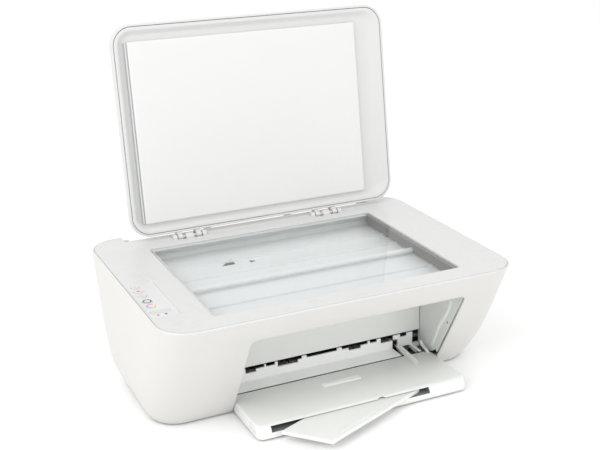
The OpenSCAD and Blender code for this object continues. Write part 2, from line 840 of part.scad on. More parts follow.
module engine_frame() color([0.35, 0.36, 0.38]) {
    back = bay_back + 64;
    z0 = 34;
    z1 = tub_z - 3;
    difference() {
        union() {
            block(frame_x0, frame_x1, back, back + 2, z0, z1);
            for (x = [frame_x0, frame_x1 - frame_t])
                block(x, x + frame_t, bay_back + 2, back, pan_top, z1);
        }
        for (x = [frame_x0, frame_x1 - frame_t]) {
            bar_x(x - 1, x + frame_t + 1, rod_at[0], rod_at[1], rod_r);
            bar_x(x - 1, x + frame_t + 1, feed_at[0], feed_at[1], feed_core_r + run_gap);
            bar_x(x - 1, x + frame_t + 1, exit_at[0], exit_at[1], exit_core_r + run_gap);
        }
        for (i = [0 : 5])
            block(-150 + 55 * i, -120 + 55 * i, back - 1, back + 3, z0 + 10, z0 + 22);
    }
}

module carriage_rod() color(steel) {
    bar_x(frame_x0, frame_x1, rod_at[0], rod_at[1], rod_r);
}

car_x = frame_x1 - frame_t - carriage_w / 2 - 4;
car_z0 = 34;
car_y0 = bay_back + 8;
cart_w = 30;
cart_x = [car_x - 17.5, car_x + 17.5];
latch_axis = [bay_back + 40, 96];

module carriage() color(dark_grey) {
    t = 2;
    x0 = car_x - carriage_w / 2;
    x1 = car_x + carriage_w / 2;
    rear = rod_at[0] - 10;
    difference() {
        union() {
            block(x0, x1, car_y0, rear, car_z0, 74);
            block(x0, x1, rear, rod_at[0] + 7, rod_at[1] - 16, rod_at[1] + 10);
            for (x = [x0, x1 - t])
                block(x, x + t, latch_axis[0] - 5, rear + 1, 70, latch_axis[1] + 4);
        }
        for (x = cart_x)
            block(x - cart_w / 2 - 0.4, x + cart_w / 2 + 0.4, car_y0 + t, rear - t, car_z0 + t, 80);
        for (x = cart_x)
            block(x - 8, x + 8, car_y0 + 8, rear - 12, car_z0 - 1, car_z0 + t + 1);
        bar_x(x0 - 1, x1 + 1, rod_at[0], rod_at[1], rod_r + run_gap);
        bar_x(x0 - 1, x1 + 1, latch_axis[0], latch_axis[1], 1.5 + run_gap);
        block(x0 - 1, x1 + 1, rear + 3, rod_at[0] + 8, rod_at[1] + 6.4, rod_at[1] + 11);
    }
}

module cartridge(x, tint) {
    y0 = car_y0 + 2.4;
    y1 = rod_at[0] - 12.4;
    color(tint) {
        block(x - cart_w / 2, x + cart_w / 2, y0, y1, car_z0 + 2.4, 84);
        block(x - 6.5, x + 6.5, y0 + 8, y1 - 14, car_z0 + 0.4, car_z0 + 2.4);
        block(x - cart_w / 2 + 4, x + cart_w / 2 - 4, y0 + 2, y0 + 5, 84, 88);
    }
}

module black_cartridge() cartridge(cart_x[1], dark_grey);
module colour_cartridge() cartridge(cart_x[0], [0.25, 0.25, 0.27]);

// Hinged cap that holds one cartridge down
module latch(x) {
    w = 31;
    y0 = car_y0 + 3;
    difference() {
        union() {
            block(x - w / 2, x + w / 2, y0, latch_axis[0] - 2, 89.5, 91.5);
            block(x - w / 2, x + w / 2, y0 - 2, y0, 86, 91.5);
            along_x(x - w / 2, x + w / 2)
                union() {
                    translate(latch_axis) circle(3.4);
                    translate([latch_axis[0] - 6, 89.5]) square([5.4, 4.6]);
                }
        }
        bar_x(x - w, x + w, latch_axis[0], latch_axis[1], 1.5 + run_gap);
    }
}

module black_latch() color([0.75, 0.77, 0.76]) latch(cart_x[1]);
module colour_latch() color([0.75, 0.77, 0.76]) latch(cart_x[0]);

belt_at = [rod_at[0] + 3, rod_at[1] + 14];
pulley_r = 6;
drive_x = frame_x0 + 17;
idler_x = frame_x1 - 14;
belt_w = 4;

// Toothed belt loop lying in a level plane, and the clamp plate of the carriage
module carriage_belt() color([0.12, 0.12, 0.12]) {
    t = 1;
    translate([0, belt_at[0], belt_at[1]])
        linear_extrude(belt_w)
            difference() {
                union() {
                    translate([drive_x, -pulley_r - t]) square([idler_x - drive_x, 2 * (pulley_r + t)]);
                    for (x = [drive_x, idler_x])
                        translate([x, 0]) circle(pulley_r + t);
                }
                translate([drive_x, -pulley_r - 0.1]) square([idler_x - drive_x, 2 * pulley_r + 0.2]);
                for (x = [drive_x, idler_x])
                    translate([x, 0]) circle(pulley_r + 0.1);
            }
}

module pulley(x) {
    bar_z(x, belt_at[0], belt_at[1] - 0.8, belt_at[1] - 0.3, pulley_r + 2);
    bar_z(x, belt_at[0], belt_at[1] - 0.3, belt_at[1] + belt_w + 0.3, pulley_r);
    bar_z(x, belt_at[0], belt_at[1] + belt_w + 0.3, belt_at[1] + belt_w + 0.8, pulley_r + 2);
}

module drive_pulley() color(steel) {
    difference() {
        pulley(drive_x);
        bar_z(drive_x, belt_at[0], belt_at[1] - 2, belt_at[1] + 10, 1.5 + run_gap);
    }
}

module idler_pulley() color(steel) {
    difference() {
        pulley(idler_x);
        bar_z(idler_x, belt_at[0], belt_at[1] - 2, belt_at[1] + 10, 2 + run_gap);
    }
}

// Motor on its bracket, and the idler's bracket at the other end
module carriage_motor() color([0.55, 0.56, 0.58]) {
    plate_z = belt_at[1] + belt_w + 2;
    back = bay_back + 64;
    difference() {
        block(frame_x0 + frame_t, drive_x + 13, belt_at[0] - 10, back, plate_z, plate_z + 1.2);
        for (x = [drive_x - 8, drive_x + 8])
            bar_z(x, belt_at[0], plate_z - 1, plate_z + 2, 1.2);
    }
    bar_z(drive_x, belt_at[0] - 4.2, plate_z + 1.2, plate_z + 15, 12.5);
    bar_z(drive_x, belt_at[0], belt_at[1] - 1.4, plate_z, 1.5);
    block(idler_x - 9, frame_x1 - frame_t, belt_at[0] - 8, back, plate_z, plate_z + 1.2);
    bar_z(idler_x, belt_at[0], belt_at[1] - 1.4, plate_z, 2);
}

module service_station() color([0.3, 0.31, 0.32]) {
    x0 = platen_x1 + 1.5;
    x1 = car_x + 32;
    y0 = floor_notch_back + 1;
    y1 = feed_at[0] - feed_core_r - 3;
    difference() {
        block(x0, x1, y0, y1, pan_top, 28);
        for (x = cart_x)
            block(x - 8.4, x + 8.4, y0 + 2.6, y1 - 2.6, 16, 40);
    }
    for (x = cart_x)
        difference() {
            block(x - 6.6, x + 6.6, y0 + 4, y1 - 4, 16, 31);
            block(x - 5, x + 5, y0 + 5.6, y1 - 5.6, 27, 40);
        }
}

feed_at = [bay_back + 57, 21];
feed_core_r = 3;
exit_at = [bay_back + 8.5, 22.4];
exit_core_r = 2.5;
exit_r = 5;

// Sleeve on a shaft
module sleeve(x0, x1, spot, r_out, r_in) {
    difference() {
        bar_x(x0, x1, spot[0], spot[1], r_out);
        bar_x(x0 - 1, x1 + 1, spot[0], spot[1], r_in);
    }
}

module feed_shaft() color([0.45, 0.46, 0.47]) {
    bar_x(frame_x0 - 9, frame_x1 + 2, feed_at[0], feed_at[1], feed_core_r);
}

// Rubber sleeves of the feed shaft, and its gear
module feed_rollers() color([0.25, 0.25, 0.26]) {
    for (i = [0 : 5])
        sleeve(-110 + 40 * i, -86 + 40 * i, feed_at, feed_r, feed_core_r);
    sleeve(frame_x0 - 8, frame_x0 - 3, feed_at, 15, feed_core_r);
}

module exit_shaft() color([0.18, 0.18, 0.18]) {
    bar_x(frame_x0 - 6, frame_x1 + 2, exit_at[0], exit_at[1], exit_core_r);
}

// Exit wheels behind the deep windows, and the shaft's gear
module exit_rollers() color([0.18, 0.18, 0.18]) {
    for (w = windows)
        if (w[2] == deep_z)
            for (x = [w[0] + 2.4 : 7 : w[1] - 5])
                sleeve(x, x + 4, exit_at, exit_r, exit_core_r);
    sleeve(frame_x0 - 5, frame_x0 - 2, exit_at, 9, exit_core_r);
}

pick_at = [back_y(78) - 35, 78];
pick_r = 14;
pick_core_r = 3;

module pick_roller() color([0.45, 0.46, 0.47]) {
    bar_x(-60, 110, pick_at[0], pick_at[1], pick_core_r);
}

module pick_tyres() color([0.25, 0.25, 0.26]) {
    for (x = [-6, 36])
        sleeve(x, x + 20, pick_at, pick_r, pick_core_r);
}

module feed_motor() color([0.55, 0.56, 0.58]) {
    y = feed_at[0] + 2;
    z = feed_at[1] + 31;
    bar_x(frame_x0 - 20, frame_x0 - 3, y + 22, z + 3, 11);
    block(frame_x0 - 3, frame_x0, feed_at[0] + 10, y + 34, z - 12, z + 18);
    bar_x(frame_x0, frame_x0 + 6, y + 22, z + 3, 2);
}

module circuit_board() color([0.13, 0.35, 0.2]) {
    x0 = -180;
    x1 = -126;
    y0 = 112;
    y1 = 176;
    z = base_z + 8;
    block(x0, x1, y0, y1, z, z + 1.6);
    for (x = [x0 + 4, x1 - 4], y = [y0 + 4, y1 - 4])
        bar_z(x, y, pan_top, z, 2.5);
    block(x0 + 14, x0 + 30, y0 + 20, y0 + 36, z + 1.6, z + 3.2);
    block(x0 + 36, x0 + 46, y0 + 12, y0 + 20, z + 1.6, z + 3);
    block(x0 + 8, x0 + 34, y1 - 14, y1 - 8, z + 1.6, z + 8);
    for (i = [0 : 3])
        bar_z(x0 + 40, y0 + 28 + 8 * i, z + 1.6, z + 10, 3);
}

module ink_absorber() color([0.88, 0.88, 0.86]) {
    block(-108, 106, bay_back + 24, bay_back + 44, pan_top, base_z + 8);
}

// ---- Rear paper feed ----

chute_x0 = -94;
chute_x1 = 130;
rear_across = rear_t / cos(back_angle);

// Face of the chute's rear plate, and the rear tray's outer face
function chute_y(z) = back_y(z) - rear_across - 2.2;
function tray_face_y(z) = back_y(z) - 0.2;

// Front and rear plates of the paper path, with low side cheeks
module paper_chute() color(bay_grey) {
    t = 1.8;
    gap = 17;
    z0 = 56;
    z1 = cover_z - 6;
    difference() {
        union() {
            // Rear plate closes the inside behind the rear tray
            along_x(-rear_x - 3, rear_x + 3)
                polygon([[chute_y(z0) - 1, z0 - 8], [chute_y(z0), z0], [chute_y(z1 + 2), z1 + 2],
                    [chute_y(z1 + 2) - t, z1 + 2], [chute_y(z0) - t, z0], [chute_y(z0) - 1 - t, z0 - 8]]);
            along_x(chute_x0, chute_x1)
                polygon([[chute_y(z0) - gap, z0], [chute_y(z1 - 2) - gap, z1 - 2],
                    [chute_y(z1 - 2) - gap - t, z1 - 2], [chute_y(z0) - gap - t, z0]]);
            for (x = [chute_x0 - t, chute_x1])
                along_x(x, x + t)
                    polygon([[chute_y(z0), z0], [chute_y(z1), z1],
                        [chute_y(z1) - gap - t, z1], [chute_y(z0) - gap - t, z0]]);
        }
        for (x = [-6, 36])
            block(x - 1.5, x + 21.5, pick_at[0] - 18, pick_at[0] + 18, pick_at[1] - 18, pick_at[1] + 18);
        bar_x(-62, 112, pick_at[0], pick_at[1], pick_core_r + run_gap);
    }
}

// Paper support, folded down into the back face
module rear_tray() color(shell_white) {
    gap = 0.5;
    z1 = rear_axis[1] - 4;
    difference() {
        union() {
            along_x(-rear_x + gap, rear_x - gap)
                polygon([[tray_face_y(rear_low + gap), rear_low + gap], [tray_face_y(z1), z1],
                    [tray_face_y(z1) - rear_across, z1],
                    [tray_face_y(rear_low + gap) - rear_across, rear_low + gap]]);
            for (x = [-rear_x + gap, -60, 52, rear_x - gap - 8])
                along_x(x, x + 8)
                    union() {
                        translate(rear_axis) circle(3);
                        polygon([[rear_axis[0] - 1.6, rear_axis[1]], [rear_axis[0] + 1.6, rear_axis[1]],
                            [tray_face_y(z1 - 3), z1 - 3], [tray_face_y(z1 - 3) - rear_across, z1 - 3]]);
                    }
        }
        bar_x(-rear_x, rear_x, rear_axis[0], rear_axis[1], 1.5 + run_gap);
        // Finger notch at the free edge
        block(-12, 12, back_y(rear_low) - 8, back_y(rear_low) + 8, rear_low - 2, rear_low + 5);
    }
}

// Left paper guide, which slides along the front plate of the chute
module width_guide() color([0.75, 0.77, 0.77]) {
    t = 2;
    z0 = 96;
    z1 = cover_z - 9;
    x = chute_x0 + 2;
    along_x(x, x + t)
        polygon([[chute_y(z0) - 2.6, z0], [chute_y(z1) - 2.6, z1],
            [chute_y(z1) - 14, z1], [chute_y(z0) - 14, z0]]);
    along_x(x + t, x + t + 14)
        polygon([[chute_y(z0) - 2.6, z0], [chute_y(z1) - 2.6, z1],
            [chute_y(z1) - 4.4, z1], [chute_y(z0) - 4.4, z0]]);
}

port_x0 = -156;
port_x1 = -112;
port_z0 = 20;
port_z1 = 46;

// Recess with the power inlet and the data socket
module port_block() color(bay_grey) {
    t = 2;
    face = back_y(port_z0) - 3;
    intersection() {
        body_form(0, 0, 0);
        difference() {
            block(port_x0 + 0.3, port_x1 - 0.3, face - 12, body_d, port_z0 + 0.3, port_z1 - 0.3);
            block(port_x0 + t, port_x1 - t, face, body_d + 1, port_z0 + t, port_z1 - t);
            // Power inlet and square data socket
            block(port_x0 + 5, port_x0 + 22, face - 9, face + 1, port_z0 + 7, port_z0 + 16);
            block(port_x1 - 18, port_x1 - 6, face - 9, face + 1, port_z0 + 6.5, port_z0 + 17.5);
        }
    }
    for (i = [0 : 2])
        block(port_x0 + 8 + 5 * i, port_x0 + 9.4 + 5 * i, face - 9, face - 5, port_z0 + 11, port_z0 + 12.4);
    block(port_x1 - 15, port_x1 - 9, face - 9, face - 5, port_z0 + 10, port_z0 + 14);
}

module case_screws() color(steel) {
    for (p = screw_spots) {
        bar_z(p[0], p[1], base_z - 0.6, base_z, 3.2);
        bar_z(p[0], p[1], base_z, pan_top + 3, screw_r);
    }
}

// ---- The frame ----

// The frame's origin: under the middle of the open printer's box
box_front = min(0, ext_pivot[1] - ext_l * sin(ext_out) - ext_front * cos(ext_out));
box_back = lid_axis[0] + (lid_front - lid_axis[0]) * cos(lid_open)
    + (lid_top_z - lid_axis[1]) * sin(lid_open);
centre_y = (box_front + box_back) / 2;

module in_frame() {
    translate([0, -centre_y, 0])
        children();
}

in_frame() outer_casing();
in_frame() base_pan();
in_frame() feet();
in_frame() top_cover();
in_frame() scanner_glass();
in_frame() scanner_tub();
in_frame() panel_label();
in_frame() display_window();
in_frame() status_lights();
in_frame() power_button();
in_frame() cancel_button();
in_frame() resume_button();
in_frame() black_copy_button();
in_frame() colour_copy_button();
in_frame() hinge_sockets();
in_frame() lid_shell();
in_frame() lid_liner();
in_frame() foam_pad();
in_frame() lid_hinge_arms();
in_frame() scan_rod();
in_frame() scan_head();
in_frame() bay_walls();
in_frame() bay_ceiling();
in_frame() exit_frame();
in_frame() platen();
in_frame() access_door();
in_frame() output_tray();
in_frame() tray_floor();
in_frame() tray_arms();
in_frame() tray_pins();
in_frame() tray_stay();
in_frame() extender_hub();
in_frame() extender();
in_frame() engine_frame();
in_frame() carriage_rod();
in_frame() carriage();
in_frame() black_cartridge();
in_frame() colour_cartridge();
in_frame() black_latch();
in_frame() colour_latch();
in_frame() carriage_belt();
in_frame() carriage_motor();
in_frame() drive_pulley();
in_frame() idler_pulley();
in_frame() service_station();
in_frame() feed_shaft();
in_frame() feed_rollers();
in_frame() exit_shaft();
in_frame() exit_rollers();
in_frame() pick_roller();
in_frame() pick_tyres();
in_frame() feed_motor();
in_frame() circuit_board();
in_frame() ink_absorber();
in_frame() paper_chute();
in_frame() rear_tray();
in_frame() width_guide();
in_frame() port_block();
in_frame() case_screws();
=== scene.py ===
import json
import math

import bmesh
import bpy
from mathutils import Matrix, Vector


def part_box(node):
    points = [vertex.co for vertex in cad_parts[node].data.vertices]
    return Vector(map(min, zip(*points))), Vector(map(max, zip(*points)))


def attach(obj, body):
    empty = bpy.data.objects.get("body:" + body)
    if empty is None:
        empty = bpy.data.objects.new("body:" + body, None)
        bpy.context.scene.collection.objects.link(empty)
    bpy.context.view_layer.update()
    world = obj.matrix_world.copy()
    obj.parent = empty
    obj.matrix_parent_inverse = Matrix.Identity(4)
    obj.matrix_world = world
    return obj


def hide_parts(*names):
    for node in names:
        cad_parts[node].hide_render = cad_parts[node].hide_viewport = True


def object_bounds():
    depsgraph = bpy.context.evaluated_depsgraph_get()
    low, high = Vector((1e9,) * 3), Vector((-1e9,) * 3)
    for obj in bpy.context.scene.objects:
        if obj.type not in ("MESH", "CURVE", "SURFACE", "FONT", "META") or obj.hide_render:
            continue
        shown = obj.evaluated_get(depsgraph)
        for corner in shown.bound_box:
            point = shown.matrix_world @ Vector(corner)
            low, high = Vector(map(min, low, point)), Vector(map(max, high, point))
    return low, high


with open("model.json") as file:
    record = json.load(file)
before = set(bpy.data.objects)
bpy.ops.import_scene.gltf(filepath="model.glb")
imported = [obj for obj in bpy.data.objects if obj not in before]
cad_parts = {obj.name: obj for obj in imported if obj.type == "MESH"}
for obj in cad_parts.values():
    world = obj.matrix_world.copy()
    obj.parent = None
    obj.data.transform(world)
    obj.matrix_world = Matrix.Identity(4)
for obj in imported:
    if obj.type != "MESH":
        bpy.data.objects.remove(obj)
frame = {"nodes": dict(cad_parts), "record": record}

cad_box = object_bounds()
MM = 0.001

# ---- The printer's own measures, in millimetres ----
# x runs left to right, y back from the front top edge, z up from the table.

glass_low, glass_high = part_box("scanner_glass")
front_y = glass_low.y - 30 * MM
top_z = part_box("outer_casing")[1].z / MM
base_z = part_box("outer_casing")[0].z / MM
half_w = 212.5
widest = cad_box[1].x / MM - 0.02
depth = 304.0
corner_r = 36.0
wall = 2.4
lid_axis = (271.4, 146.0)
lid_open = 98.6
tray_axis = (106.4, 49.6)
tray_close = 61.4
bay_x = (-114.0, 150.0)


def at(x, y, z):
    """A point of the printer in the scene's metres."""
    return Vector((x * MM, front_y + y * MM, z * MM))


def drop(z):
    return (top_z - z) / (top_z - base_z)


def side_in(z):
    return 18 * drop(z) ** 6 - 6 * drop(z)


def front_in(z):
    return 79 * drop(z) + 1.8 * drop(z) ** 6


def back_in(z):
    return 86 * drop(z) - 16.6 * drop(z) ** 6


def turned(y, z, axis, angle):
    """A side-view point turned about an axis that runs along x."""
    c, s = math.cos(math.radians(angle)), math.sin(math.radians(angle))
    dy, dz = y - axis[0], z - axis[1]
    return axis[0] + dy * c - dz * s, axis[1] + dy * s + dz * c


# ---- Finishes ----


class Term:
    """A shader value that can be written into a sum or a product."""

    def __init__(self, finish, socket):
        self.finish, self.socket = finish, socket

    def _math(self, operation, a, b):
        return self.finish.node("Math", {"operation": operation}, {0: a, 1: b})

    def __add__(self, other):
        return self._math("ADD", self, other)

    def __radd__(self, other):
        return self._math("ADD", other, self)

    def __sub__(self, other):
        return self._math("SUBTRACT", self, other)

    def __rsub__(self, other):
        return self._math("SUBTRACT", other, self)

    def __mul__(self, other):
        return self._math("MULTIPLY", self, other)

    def __rmul__(self, other):
        return self._math("MULTIPLY", other, self)


class Finish:
    """One material and the nodes that make it."""

    def __init__(self, name):
        self.material = bpy.data.materials.new(name)
        self.material.use_nodes = True
        self.tree = self.material.node_tree
        self.tree.nodes.clear()

    def node(self, kind, settings=None, inputs=None, output=0):
        made = self.tree.nodes.new("ShaderNode" + kind)
        for key, value in (settings or {}).items():
            if key == "stops":
                while len(made.color_ramp.elements) < len(value):
                    made.color_ramp.elements.new(0.5)
                for element, (place, colour) in zip(made.color_ramp.elements, value):
                    element.position, element.color = place, colour
            else:
                setattr(made, key, value)
        for key, value in (inputs or {}).items():
            if isinstance(value, Term):
                self.tree.links.new(value.socket, made.inputs[key])
            else:
                made.inputs[key].default_value = value
        return Term(self, made.outputs[output]) if made.outputs else None

    def place(self, stretch=(1, 1, 1)):
        coordinates = self.node("TexCoord", output="Object")
        return self.node("Mapping", {}, {"Vector": coordinates, "Scale": stretch})

    def noise(self, scale, detail=2.0, stretch=(1, 1, 1)):
        inputs = {"Vector": self.place(stretch), "Scale": scale, "Detail": detail}
        return self.node("TexNoise", {}, inputs, "Fac")

    def ramp(self, value, low, high):
        stops = [(low, (0, 0, 0, 1)), (high, (1, 1, 1, 1))]
        return self.node("ValToRGB", {"stops": stops}, {"Fac": value})

    def tint(self, share, dark, light):
        return self.node("Mix", {"data_type": "RGBA"}, {0: share, 6: (*dark, 1), 7: (*light, 1)}, 2)

    def over(self, share, under, colour):
        return self.node("Mix", {"data_type": "RGBA"}, {0: share, 6: under, 7: (*colour, 1)}, 2)

    def worn_edges(self, low=0.505, high=0.56):
        return self.ramp(self.node("NewGeometry", output="Pointiness"), low, high)

    def bumps(self, height, depth_mm, strength=0.5):
        return self.node("Bump", {}, {"Height": height, "Distance": depth_mm * MM, "Strength": strength})

    def surface(self, **inputs):
        named = {key.replace("_", " "): value for key, value in inputs.items()}
        shader = self.node("BsdfPrincipled", {}, named)
        self.node("OutputMaterial", {}, {"Surface": shader})
        return self.material


def shade(colour, factor):
    return tuple(min(1.0, c * factor) for c in colour)


def moulded_plastic(name, colour, roughness=0.42, grain=0.012, coat=0.0):
    """Moulded plastic: fine spark-eroded grain, faint cloudiness, edges rubbed a little smoother."""
    f = Finish(name)
    cloud = f.noise(14, 3)
    grains = f.noise(2600, 1)
    rubbed = f.worn_edges()
    body = f.tint(cloud, shade(colour, 0.975), shade(colour, 1.012))
    return f.surface(
        Base_Color=f.over(rubbed * 0.35, body, shade(colour, 1.05)),
        Roughness=roughness + (cloud - 0.5) * 0.08 + (grains - 0.5) * 0.06 - rubbed * 0.08,
        Coat_Weight=coat,
        Normal=f.bumps(grains, grain, 0.6),
    )


def brushed_metal(name, colour, roughness=0.3):
    f = Finish(name)
    lines = f.noise(260, 4, (0.12, 3, 3))
    spots = f.noise(40, 2)
    return f.surface(
        Base_Color=f.tint(lines, shade(colour, 0.86), shade(colour, 1.1)),
        Metallic=0.9,
        Roughness=roughness + (spots - 0.5) * 0.16,
        Normal=f.bumps(lines, 0.01, 0.4),
    )


def roller_rubber(name, colour):
    f = Finish(name)
    grit = f.noise(1600, 3)
    dust = f.noise(60, 3)
    return f.surface(
        Base_Color=f.tint(dust, colour, shade(colour, 1.9)),
        Roughness=0.72 + (grit - 0.5) * 0.2,
        Normal=f.bumps(grit, 0.03, 0.7),
    )


def soft_foam(name, colour):
    f = Finish(name)
    weave = f.noise(1300, 3)
    waves = f.noise(9, 2)
    return f.surface(
        Base_Color=f.tint(waves, shade(colour, 0.985), colour),
        Roughness=0.62 + (weave - 0.5) * 0.1,
        Sheen_Weight=0.08,
        Normal=f.bumps(weave * 0.2 + waves, 0.25, 0.25),
    )


def felt(name, colour):
    f = Finish(name)
    fibres = f.noise(900, 6, (1, 1, 4))
    stain = f.noise(45, 3)
    return f.surface(
        Base_Color=f.tint(f.ramp(stain, 0.35, 0.75), colour, shade(colour, 0.8)),
        Roughness=0.95,
        Sheen_Weight=0.3,
        Normal=f.bumps(fibres, 0.3, 0.8),
    )


def circuit_lacquer(name, colour):
    f = Finish(name)
    tracks = f.node("TexBrick", {"offset": 0.35}, {
        "Vector": f.place((1, 1, 1)), "Scale": 160.0, "Mortar Size": 0.06,
        "Color1": (0, 0, 0, 1), "Color2": (0, 0, 0, 1), "Mortar": (1, 1, 1, 1)})
    copper = f.ramp(tracks, 0.4, 0.6)
    grain = f.noise(300, 2)
    return f.surface(
        Base_Color=f.over(copper, f.tint(grain, shade(colour, 0.8), colour), (0.10, 0.42, 0.2)),
        Roughness=0.34 + (grain - 0.5) * 0.1,
        Normal=f.bumps(copper, 0.02, 0.5),
    )


def glass_sheet(name):
    """Flat float glass: clear, with a green-grey tint, and a mirror where it is seen flat on."""
    f = Finish(name)
    smears = f.noise(18, 3)
    clear = f.node("BsdfTransparent", {}, {"Color": (0.965, 0.975, 0.975, 1)})
    shine = f.node("BsdfGlossy", {}, {"Color": (1, 1, 1, 1), "Roughness": 0.012})
    facing = f.node("NewGeometry", output="Backfacing")
    mirror = f.node("Fresnel", {}, {"IOR": 1.5}) * (1 - facing)
    both = f.node("MixShader", {}, {0: mirror + smears * 0.01, 1: clear, 2: shine})
    f.node("OutputMaterial", {}, {"Surface": both})
    return f.material


def clear_gloss(name, colour, roughness=0.16, glow=0.0):
    f = Finish(name)
    wipe = f.noise(80, 3)
    return f.surface(
        Base_Color=f.tint(wipe, shade(colour, 0.96), colour),
        Roughness=roughness + (wipe - 0.5) * 0.06,
        Emission_Color=(*colour, 1),
        Emission_Strength=glow,
        Normal=f.bumps(wipe, 0.01, 0.2),
    )


def printed_ink(name, colour):
    f = Finish(name)
    speck = f.noise(1800, 2)
    return f.surface(
        Base_Color=f.tint(speck, colour, shade(colour, 1.12)),
        Roughness=0.4 + (speck - 0.5) * 0.1,
        Normal=f.bumps(speck, 0.004, 0.3),
    )


finishes = {
    "casing": moulded_plastic("casing_white", (0.66, 0.652, 0.628), 0.36, 0.01),
    "cover": moulded_plastic("cover_white", (0.625, 0.63, 0.62), 0.34, 0.008),
    "glass": glass_sheet("scanner_glass_sheet"),
    "bay": moulded_plastic("bay_grey", (0.74, 0.765, 0.74), 0.45, 0.014),
    "tray": moulded_plastic("tray_white", (0.80, 0.81, 0.785), 0.4, 0.014),
    "foam": soft_foam("foam_white", (0.71, 0.71, 0.70)),
    "label": moulded_plastic("label_film", (0.645, 0.648, 0.648), 0.28, 0.004),
    "window": clear_gloss("display_grey", (0.60, 0.612, 0.61), 0.16),
    "lights": clear_gloss("warning_red", (0.62, 0.13, 0.09), 0.2, 0.1),
    "stay": moulded_plastic("stay_grey", (0.74, 0.75, 0.73), 0.3, 0.01),
    # head_brown_and_painted_reflection is also the painted dark reflection on the glass's right-hand seat
    "head": moulded_plastic("head_brown_and_painted_reflection", (0.088, 0.08, 0.073), 0.42, 0.02),
    "tub": moulded_plastic("tub_pale", (0.76, 0.772, 0.77), 0.5, 0.014),
    "bright": moulded_plastic("bright_white", (0.9, 0.9, 0.89), 0.36, 0.01),
    "button": moulded_plastic("button_white", (0.655, 0.657, 0.657), 0.3, 0.006),
    "black": moulded_plastic("engine_black", (0.035, 0.036, 0.038), 0.5, 0.02),
    # frame_grey_and_painted_shade is also the painted shade on the walls of the tray's pocket and thumb notch
    "grey": moulded_plastic("frame_grey_and_painted_shade", (0.16, 0.165, 0.17), 0.48, 0.02),
    "latch": moulded_plastic("latch_grey", (0.50, 0.53, 0.52), 0.42, 0.014),
    "steel": brushed_metal("shaft_steel", (0.62, 0.63, 0.65)),
    "rubber": roller_rubber("roller_rubber", (0.03, 0.03, 0.032)),
    "belt": roller_rubber("belt_rubber", (0.022, 0.022, 0.022)),
    "board": circuit_lacquer("board_green", (0.03, 0.16, 0.07)),
    "felt": felt("absorber_felt", (0.74, 0.73, 0.69)),
}
ink_red = printed_ink("mark_red", (0.75, 0.10, 0.09))
ink_grey = printed_ink("mark_grey", (0.38, 0.39, 0.40))
ink_black = printed_ink("mark_black", (0.05, 0.052, 0.058))
ink_yellow = printed_ink("mark_yellow", (0.85, 0.66, 0.06))
ink_blue = printed_ink("mark_blue", (0.05, 0.38, 0.66))
ink_pink = printed_ink("mark_pink", (0.74, 0.12, 0.42))


# ---- Shapes ----


def outline(x0, x1, y0, y1, r, steps=8):
    """Rectangle with round corners, anticlockwise, with the same number of points whatever its size."""
    points = []
    corners = [(x1 - r, y1 - r, 0), (x0 + r, y1 - r, 90), (x0 + r, y0 + r, 180), (x1 - r, y0 + r, 270)]
    for cx, cy, start in corners:
        for i in range(steps + 1):
            a = math.radians(start + 90 * i / steps)
            points.append((cx + r * math.cos(a), cy + r * math.sin(a)))
    return points


def new_piece(name, vertices, faces, finish, smooth_angle=32):
    mesh = bpy.data.meshes.new(name)
    mesh.from_pydata([tuple(v) for v in vertices], [], faces)
    mesh.validate()
    tool = bmesh.new()
    tool.from_mesh(mesh)
    bmesh.ops.recalc_face_normals(tool, faces=tool.faces)
    tool.to_mesh(mesh)
    tool.free()
    piece = bpy.data.objects.new(name, mesh)
    bpy.context.scene.collection.objects.link(piece)
    mesh.materials.append(finish)
    smooth(mesh, smooth_angle)
    return piece


def smooth(mesh, angle):
    mesh.polygons.foreach_set("use_smooth", [True] * len(mesh.polygons))
    mesh.set_sharp_from_angle(angle=math.radians(angle))


def loft(name, loops, finish, ring=False, smooth_angle=32):
    """Skin through loops of points. The ends are closed, or joined to each other in a ring."""
    count = len(loops[0])
    vertices = [p for loop in loops for p in loop]
    faces = []
    last = len(loops) if ring else len(loops) - 1
    for i in range(last):
        a, b = i * count, (i + 1) % len(loops) * count
        for k in range(count):
            n = (k + 1) % count
            faces.append((a + k, a + n, b + n, b + k))
    if not ring:
        faces.append(tuple(reversed(range(count))))
        faces.append(tuple((len(loops) - 1) * count + k for k in range(count)))
    return new_piece(name, vertices, faces, finish, smooth_angle)


def slab(name, points, low, high, finish, edge, steps=3):
    """Flat plate from a plan outline, with its upper edge rounded over."""
    cx = sum(p[0] for p in points) / len(points)
    cy = sum(p[1] for p in points) / len(points)
    reach = max(math.hypot(p[0] - cx, p[1] - cy) for p in points)
    levels = [(0.0, low), (0.0, high - edge)]
    for i in range(1, steps + 1):
        a = math.radians(90 * i / steps)
        levels.append((edge * (1 - math.cos(a)), high - edge + edge * math.sin(a)))
    loops = []
    for inset, z in levels:
        share = 1 - inset / reach
        loops.append([at(cx + (x - cx) * share, cy + (y - cy) * share, z) for x, y in points])
    return loft(name, loops, finish)


def along_x(name, profile, x0, x1, finish, smooth_angle=32):
    """Side-view outline drawn out from x0 to x1."""
    loops = [[at(x, y, z) for y, z in profile] for x in (x0, x1)]
    return loft(name, loops, finish, smooth_angle=smooth_angle)


def block(name, x, y, z, finish):
    """Plain block, used as a cutter."""
    return along_x(name, [(y[0], z[0]), (y[1], z[0]), (y[1], z[1]), (y[0], z[1])], *x, finish)


def ribbon(name, line, section, finish):
    """Bar that follows a side-view line. Its section lists x and the distance from the line."""
    loops = []
    for i, (y, z) in enumerate(line):
        before, after = line[max(0, i - 1)], line[min(len(line) - 1, i + 1)]
        ty, tz = after[0] - before[0], after[1] - before[1]
        n = math.hypot(ty, tz)
        loops.append([at(x, y - tz / n * off, z + ty / n * off) for x, off in section])
    return loft(name, loops, finish, smooth_angle=50)


